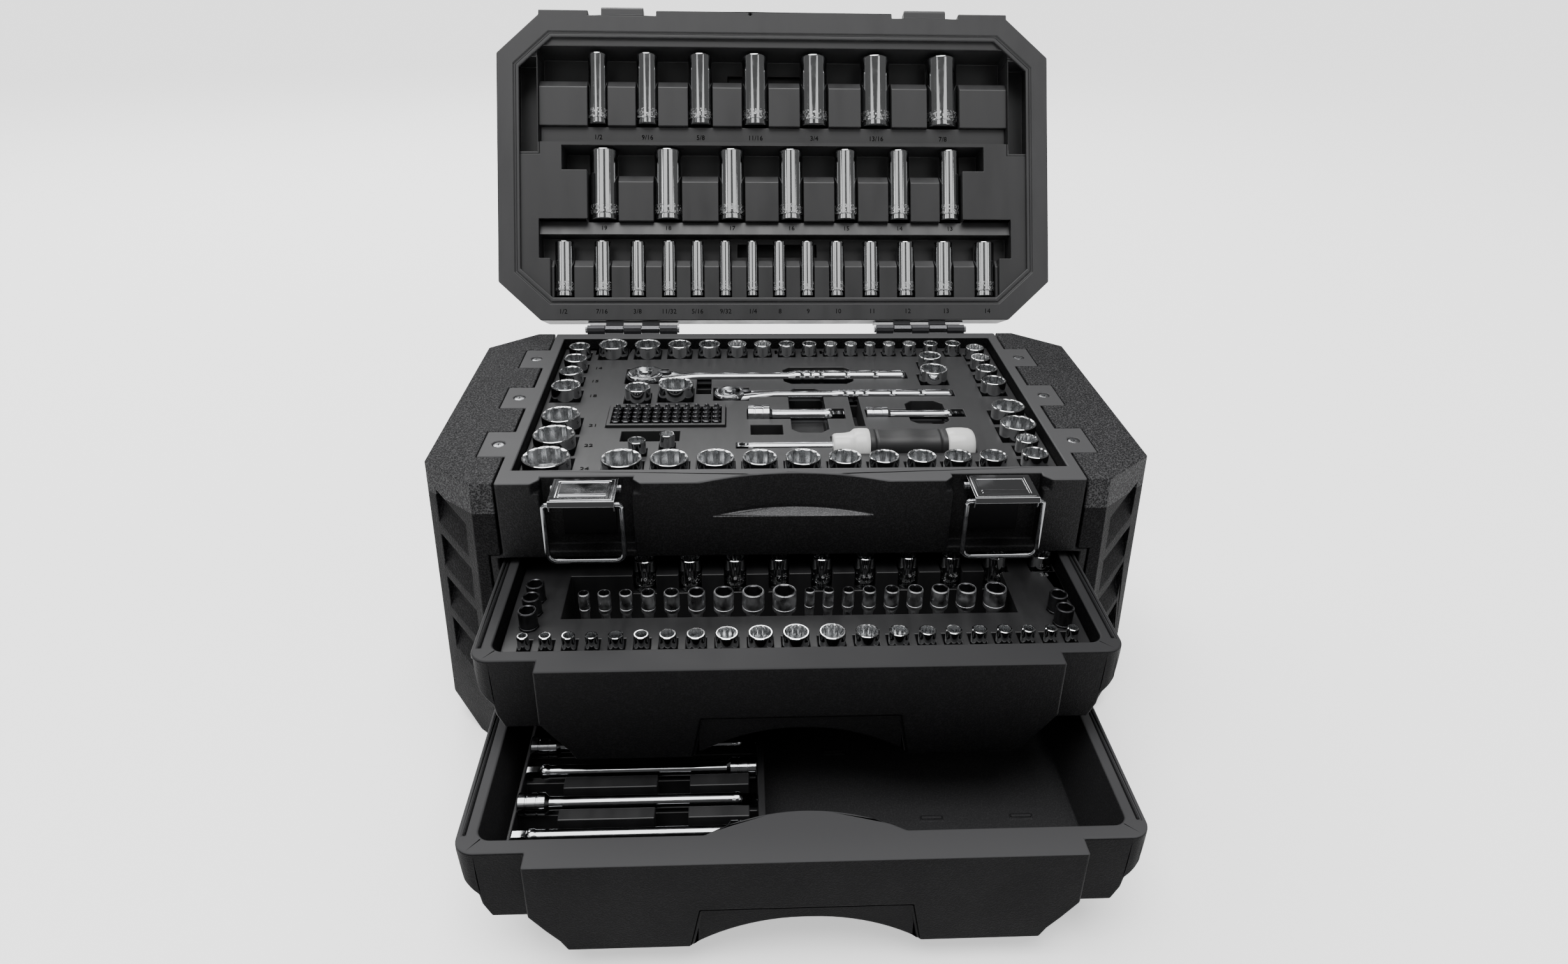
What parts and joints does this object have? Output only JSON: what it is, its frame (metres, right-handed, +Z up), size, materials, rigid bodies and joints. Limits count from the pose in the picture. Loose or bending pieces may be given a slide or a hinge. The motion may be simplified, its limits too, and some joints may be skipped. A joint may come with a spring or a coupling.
{
  "type": "tool case",
  "caption": "Portable tool case with a lifting lid, two sliding drawers, two bail latches and moulded inserts that hold sockets, ratchets, drivers and bars.",
  "frame": {"origin": "middle of the case's underside, on the surface it stands on", "axes": "+X to the right as seen from the front, +Y from the front to the hinge side, +Z up"},
  "size_m": [0.511, 0.6572, 0.4743],
  "materials": {
    "housing_plastic": "moulded polypropylene, fine grain, near black",
    "cover_plastic": "moulded polypropylene with a strong speckled grain, near black",
    "lid_plastic": "moulded polypropylene, smooth satin, dark grey",
    "drawer_plastic": "moulded polypropylene, satin, dark grey",
    "tray_plastic": "formed insert, satin, dark grey",
    "chrome_sheet": "bright plated pressed sheet and wire",
    "chrome_tools": "bright plated and polished steel",
    "bit_steel": "satin hardened steel",
    "zinc_steel": "zinc plated steel",
    "black_steel": "black coated sheet steel",
    "white_plastic": "gloss moulded plastic, off white",
    "grip_rubber": "soft moulded grip, black"
  },
  "bodies": {
    "case": {"case_housing": "housing_plastic", "side_cover_right": "cover_plastic", "side_cover_left": "cover_plastic", "side_cover_screws": "zinc_steel", "runner_upper_right": "housing_plastic", "runner_upper_left": "housing_plastic", "runner_lower_right": "housing_plastic", "runner_lower_left": "housing_plastic", "hinge_leaves_body": "black_steel", "hinge_pins": "zinc_steel", "latch_base_right": "chrome_sheet", "latch_base_left": "chrome_sheet", "latch_pins": "chrome_sheet", "top_tray_insert": "tray_plastic", "bit_rack": "tray_plastic", "rack_bits": "bit_steel", "ratchet_large": "chrome_tools", "ratchet_small": "chrome_tools", "extension_bar_wide": "chrome_tools", "extension_bar_narrow": "chrome_tools", "spinner_shaft": "chrome_tools", "spinner_collar": "white_plastic", "spinner_grip": "grip_rubber", "top_sockets_front": "chrome_tools", "top_sockets_left": "chrome_tools", "top_sockets_rear": "chrome_tools", "top_sockets_right": "chrome_tools", "top_sockets_inner": "chrome_tools"},
    "lid": {"lid_shell": "lid_plastic", "lid_insert": "tray_plastic", "lid_insert_islands": "tray_plastic", "lid_insert_wells": "tray_plastic", "hinge_leaves_lid": "black_steel", "lid_sockets_row_1": "chrome_tools", "lid_sockets_row_2": "chrome_tools", "lid_sockets_row_3": "chrome_tools"},
    "middle_drawer": {"middle_drawer": "drawer_plastic", "middle_drawer_insert": "tray_plastic", "middle_sockets_front": "chrome_tools", "middle_sockets_rear": "chrome_tools", "nut_drivers": "chrome_tools", "hex_bits": "bit_steel"},
    "bottom_drawer": {"bottom_drawer": "drawer_plastic", "bottom_drawer_insert": "tray_plastic", "long_extension_bars": "chrome_tools"},
    "lever_right": {"latch_lever_right": "chrome_sheet"},
    "lever_left": {"latch_lever_left": "chrome_sheet"},
    "bail_right": {"bail_right": "chrome_sheet"},
    "bail_left": {"bail_left": "chrome_sheet"}
  },
  "joints": [
    {"name": "lid_hinge", "type": "hinge", "parent": "case", "child": "lid", "pos_m": [0, 0.1495, 0.2183], "axis": [1, 0, 0], "range_deg": [0, 118.15]},
    {"name": "middle_drawer_slide", "type": "slide", "parent": "case", "child": "middle_drawer", "axis": [0, 1, 0], "range_m": [-0.081, 0.1]},
    {"name": "bottom_drawer_slide", "type": "slide", "parent": "case", "child": "bottom_drawer", "axis": [0, 1, 0], "range_m": [0, 0.181]},
    {"name": "latch_lever_right_hinge", "type": "hinge", "parent": "case", "child": "lever_right", "pos_m": [0.1375, -0.1375, 0.212], "axis": [1, 0, 0], "range_deg": [0, 90]},
    {"name": "bail_right_hinge", "type": "hinge", "parent": "lever_right", "child": "bail_right", "pos_m": [0.1375, -0.1595, 0.212], "axis": [1, 0, 0], "range_deg": [-270, 0]},
    {"name": "latch_lever_left_hinge", "type": "hinge", "parent": "case", "child": "lever_left", "pos_m": [-0.1375, -0.1375, 0.212], "axis": [1, 0, 0], "range_deg": [0, 90]},
    {"name": "bail_left_hinge", "type": "hinge", "parent": "lever_left", "child": "bail_left", "pos_m": [-0.1375, -0.1595, 0.212], "axis": [1, 0, 0], "range_deg": [-270, 0]}
  ],
  "couplings": [
    {"joint": "bail_right_hinge", "follows": "latch_lever_right_hinge", "ratio": -3},
    {"joint": "bail_left_hinge", "follows": "latch_lever_left_hinge", "ratio": -3}
  ]
}
